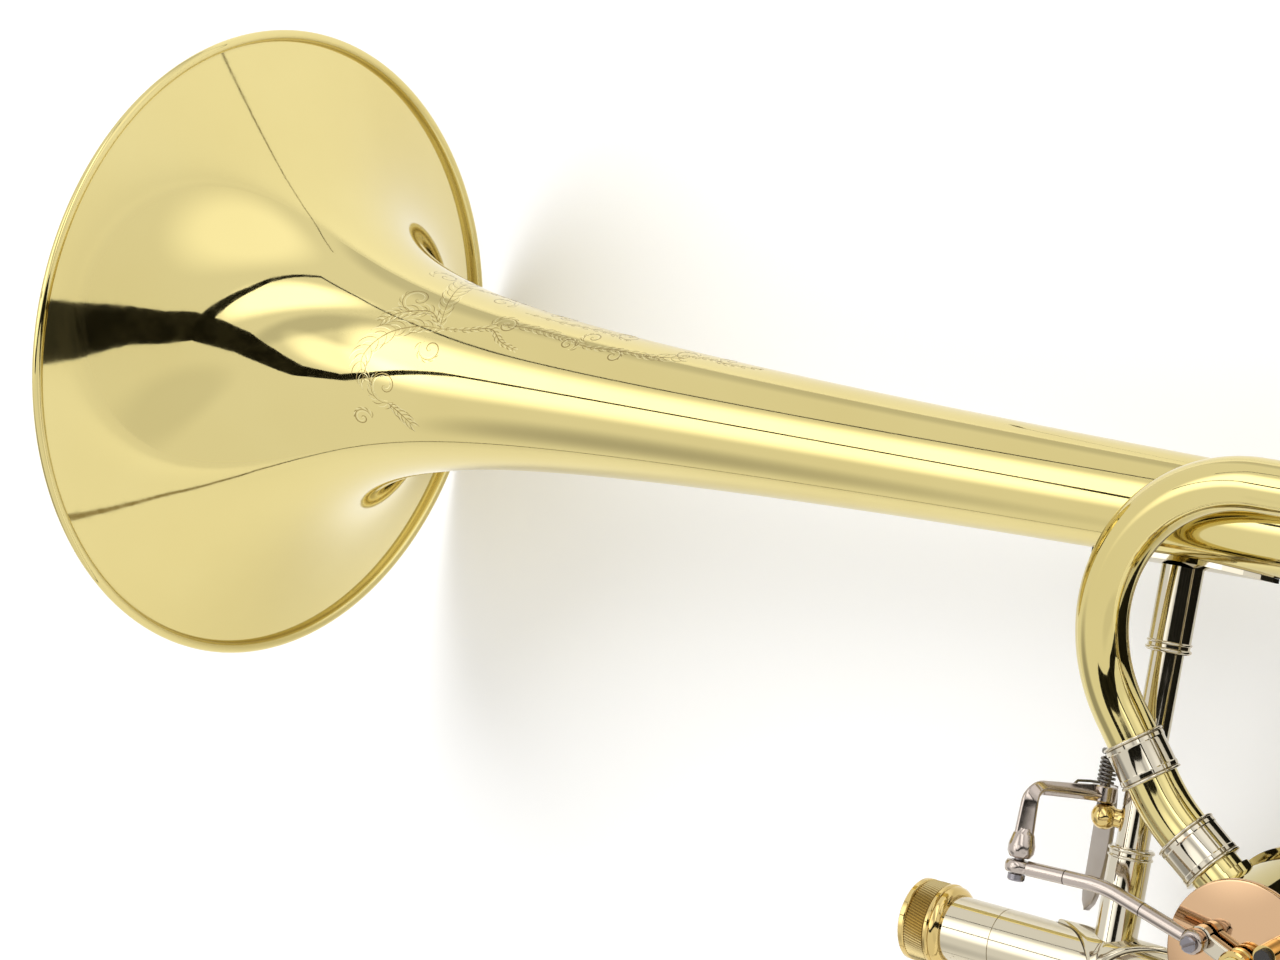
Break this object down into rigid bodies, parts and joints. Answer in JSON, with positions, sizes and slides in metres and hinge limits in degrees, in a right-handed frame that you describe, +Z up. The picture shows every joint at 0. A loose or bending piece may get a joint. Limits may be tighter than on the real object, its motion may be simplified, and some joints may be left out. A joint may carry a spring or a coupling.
{
  "type": "trombone bell section with f attachment",
  "caption": "Trombone bell section with a rotary F attachment, thumb lever linkage, tuning slides and a turning lock nut on its receiver.",
  "frame": {"origin": "centre of the receiver's mouth, 2 mm inside the lock nut, where the hand slide's end goes in", "axes": "+Z up from the table that the part lies on; +X along the table, from the bell's rim to the slides' bows; +Y from the receiver to the bell"},
  "size_m": [0.6042, 0.2501, 0.2134],
  "materials": {
    "lacquered_brass": "clear lacquer over yellow brass",
    "gold_brass": "clear lacquer over gold-toned brass",
    "red_brass": "polished red brass",
    "nickel_silver": "polished nickel silver",
    "lever_nickel": "polished nickel, slightly worn",
    "dark_steel": "blued spring steel",
    "bumper_rubber": "matte"
  },
  "bodies": {
    "bell_section": {"bell": "lacquered_brass", "bell_tail_ferrule": "nickel_silver", "bell_sleeve": "lacquered_brass", "receiver": "nickel_silver", "brace_receiver_flange": "nickel_silver", "brace_lower_sleeve": "nickel_silver", "brace_tube": "nickel_silver", "brace_upper_sleeve": "nickel_silver", "brace_bell_flange": "nickel_silver", "tail_brace_tube": "nickel_silver", "tail_brace_flanges": "nickel_silver", "valve_casing": "lacquered_brass", "casing_back_ring": "nickel_silver", "top_bearing": "lacquered_brass", "back_bearing": "lacquered_brass", "valve_cap_disc": "red_brass", "valve_back_cap": "lacquered_brass", "bumper_posts": "gold_brass", "stop_bumpers": "bumper_rubber", "receiver_elbow": "lacquered_brass", "exit_elbow": "lacquered_brass", "exit_ferrule": "nickel_silver", "lower_sleeve": "lacquered_brass", "neck_ferrule_low": "nickel_silver", "gooseneck": "lacquered_brass", "neck_ferrule_high": "nickel_silver", "front_crook": "lacquered_brass", "loop_upper_sleeve": "nickel_silver", "loop_lower_sleeve": "nickel_silver", "return_neck": "lacquered_brass", "return_ferrule": "nickel_silver", "loop_stay": "nickel_silver", "loop_cross_stay": "nickel_silver", "hinge_ball": "gold_brass", "hinge_pin": "dark_steel", "return_spring": "dark_steel"},
    "lock_nut": {"lock_nut": "gold_brass"},
    "rotor": {"rotor": "lacquered_brass", "stop_arm": "nickel_silver"},
    "thumb_lever": {"thumb_lever": "lever_nickel", "lever_stud": "dark_steel"},
    "link_rod": {"link_rod": "lever_nickel", "link_screw": "dark_steel"},
    "main_tuning_slide": {"slide_upper_leg": "lacquered_brass", "slide_lower_leg": "lacquered_brass", "slide_bow": "lacquered_brass", "slide_ferrules": "nickel_silver", "slide_brace": "nickel_silver"},
    "loop_tuning_slide": {"loop_slide_upper_leg": "lacquered_brass", "loop_slide_lower_leg": "lacquered_brass", "loop_slide_bow": "lacquered_brass", "loop_slide_ferrules": "nickel_silver", "loop_slide_brace": "nickel_silver"}
  },
  "joints": [
    {"name": "nut_turn", "type": "hinge", "parent": "bell_section", "child": "lock_nut", "pos_m": [0.00445, 0, -0.00069], "axis": [0.988, 0, -0.1544], "continuous": true},
    {"name": "rotor_turn", "type": "hinge", "parent": "bell_section", "child": "rotor", "pos_m": [0.10967, 0.01979, -0.01064], "axis": [-0.1468, 0.3083, -0.9399], "range_deg": [0, 90], "stiffness_Nm_per_rad": 0.03, "springref_deg": -34.38},
    {"name": "lever_swing", "type": "hinge", "parent": "bell_section", "child": "thumb_lever", "pos_m": [0.05143, 0.04782, -0.00121], "axis": [0.012, 0.997, 0.0768], "range_deg": [0, 32.01]},
    {"name": "rod_swing", "type": "hinge", "parent": "thumb_lever", "child": "link_rod", "pos_m": [0.04792, 0.02379, 0.02483], "axis": [-0.0345, -0.9941, 0.103], "range_deg": [0, 34.14]},
    {"name": "main_slide_pull", "type": "slide", "parent": "bell_section", "child": "main_tuning_slide", "axis": [0.988, 0, -0.1544], "range_m": [0, 0.05]},
    {"name": "loop_slide_pull", "type": "slide", "parent": "bell_section", "child": "loop_tuning_slide", "axis": [0.988, 0, -0.1544], "range_m": [0, 0.03]}
  ],
  "couplings": [
    {"joint": "lever_swing", "follows": "rotor_turn", "ratio": 0.35564},
    {"joint": "rod_swing", "follows": "rotor_turn", "ratio": 0.37928}
  ]
}
